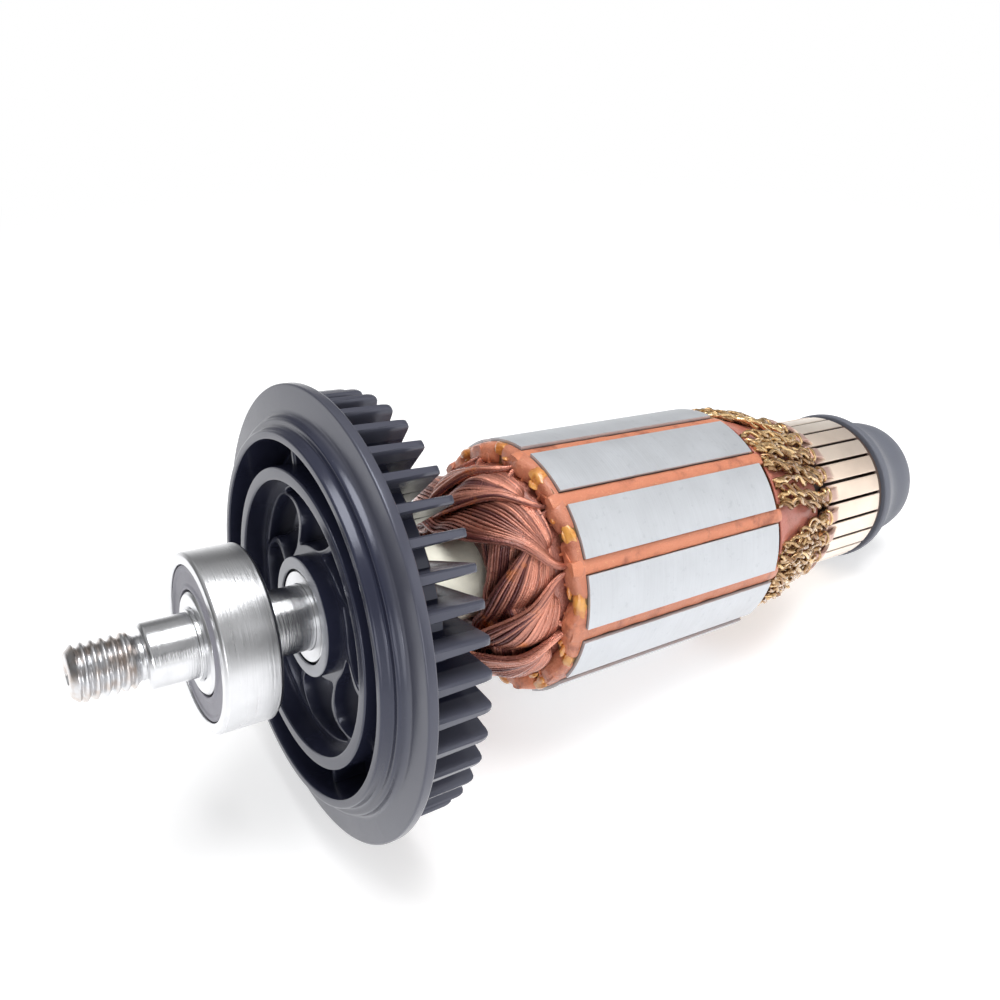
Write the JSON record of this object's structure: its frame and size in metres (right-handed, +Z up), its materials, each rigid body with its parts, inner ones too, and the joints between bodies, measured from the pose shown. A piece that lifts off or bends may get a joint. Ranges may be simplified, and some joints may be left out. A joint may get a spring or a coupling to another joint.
{
  "type": "motor armature",
  "caption": "Wound armature of a brushed hand-tool motor: threaded shaft, ball bearings, cooling fan, slotted core with copper coils, commutator and rubber bearing boot.",
  "frame": {"origin": "on the table under the middle of the armature's bounding box", "axes": "+Z up; the shaft lies in the XZ plane, its threaded front end towards -X and its commutator end towards +X, sloping down to the rear as it rests on fan rim and boot"},
  "size_m": [0.1726, 0.0692, 0.0685],
  "materials": {
    "ground_steel": "ground and polished",
    "bearing_steel": "polished",
    "seal_rubber": "matt grey",
    "fan_plastic": "dark blue-grey, satin",
    "core_steel": "ground laminations",
    "insulation": "orange-brown varnished fibre",
    "sleeve_plastic": "cream tube",
    "enamelled_copper": "enamelled and varnished copper wire",
    "lead_copper": "varnished copper wire",
    "commutator_copper": "turned copper",
    "moulding": "dark phenolic moulding",
    "boot_rubber": "matt blue-grey rubber"
  },
  "bodies": {
    "rotor": {"coil_pair_1": "enamelled_copper", "coil_pair_2": "enamelled_copper", "coil_pair_3": "enamelled_copper", "coil_pair_4": "enamelled_copper", "coil_pair_5": "enamelled_copper", "coil_pair_6": "enamelled_copper", "commutator_bar_01": "commutator_copper", "commutator_bar_02": "commutator_copper", "commutator_bar_03": "commutator_copper", "commutator_bar_04": "commutator_copper", "commutator_bar_05": "commutator_copper", "commutator_bar_06": "commutator_copper", "commutator_bar_07": "commutator_copper", "commutator_bar_08": "commutator_copper", "commutator_bar_09": "commutator_copper", "commutator_bar_10": "commutator_copper", "commutator_bar_11": "commutator_copper", "commutator_bar_12": "commutator_copper", "commutator_bar_13": "commutator_copper", "commutator_bar_14": "commutator_copper", "commutator_bar_15": "commutator_copper", "commutator_bar_16": "commutator_copper", "commutator_bar_17": "commutator_copper", "commutator_bar_18": "commutator_copper", "commutator_bar_19": "commutator_copper", "commutator_bar_20": "commutator_copper", "commutator_bar_21": "commutator_copper", "commutator_bar_22": "commutator_copper", "commutator_bar_23": "commutator_copper", "commutator_bar_24": "commutator_copper", "commutator_bush": "ground_steel", "commutator_moulding": "moulding", "fan": "fan_plastic", "fan_bush": "ground_steel", "front_bearing_inner_ring": "bearing_steel", "front_end_insulator": "insulation", "lamination_stack": "core_steel", "lead_wires": "lead_copper", "rear_bearing_inner_ring": "bearing_steel", "rear_end_insulator": "insulation", "rear_winding_band": "insulation", "shaft": "ground_steel", "shaft_sleeve": "sleeve_plastic", "slot_liners": "insulation", "slot_wedges": "insulation"},
    "front_outer_race": {"front_bearing_outer_ring": "bearing_steel", "front_bearing_front_seal": "seal_rubber", "front_bearing_rear_seal": "seal_rubber"},
    "front_ball_set": {"front_bearing_balls": "bearing_steel", "front_bearing_cage": "bearing_steel"},
    "rear_outer_race": {"rear_bearing_outer_ring": "bearing_steel", "rear_bearing_front_seal": "seal_rubber", "rear_bearing_rear_seal": "seal_rubber", "rear_boot": "boot_rubber"},
    "rear_ball_set": {"rear_bearing_balls": "bearing_steel", "rear_bearing_cage": "bearing_steel"}
  },
  "joints": [
    {"name": "front_race_spin", "type": "hinge", "parent": "rotor", "child": "front_outer_race", "pos_m": [-0.06561, 0, 0.0364], "axis": [0.9886, 0, -0.1504], "continuous": true},
    {"name": "front_ball_orbit", "type": "hinge", "parent": "rotor", "child": "front_ball_set", "pos_m": [-0.06561, 0, 0.0364], "axis": [0.9886, 0, -0.1504], "continuous": true},
    {"name": "rear_race_spin", "type": "hinge", "parent": "rotor", "child": "rear_outer_race", "pos_m": [0.07952, 0, 0.01433], "axis": [0.9886, 0, -0.1504], "continuous": true},
    {"name": "rear_ball_orbit", "type": "hinge", "parent": "rotor", "child": "rear_ball_set", "pos_m": [0.07952, 0, 0.01433], "axis": [0.9886, 0, -0.1504], "continuous": true}
  ],
  "couplings": [
    {"joint": "front_ball_orbit", "follows": "front_race_spin", "ratio": 0.62707},
    {"joint": "rear_ball_orbit", "follows": "rear_race_spin", "ratio": 0.63}
  ]
}
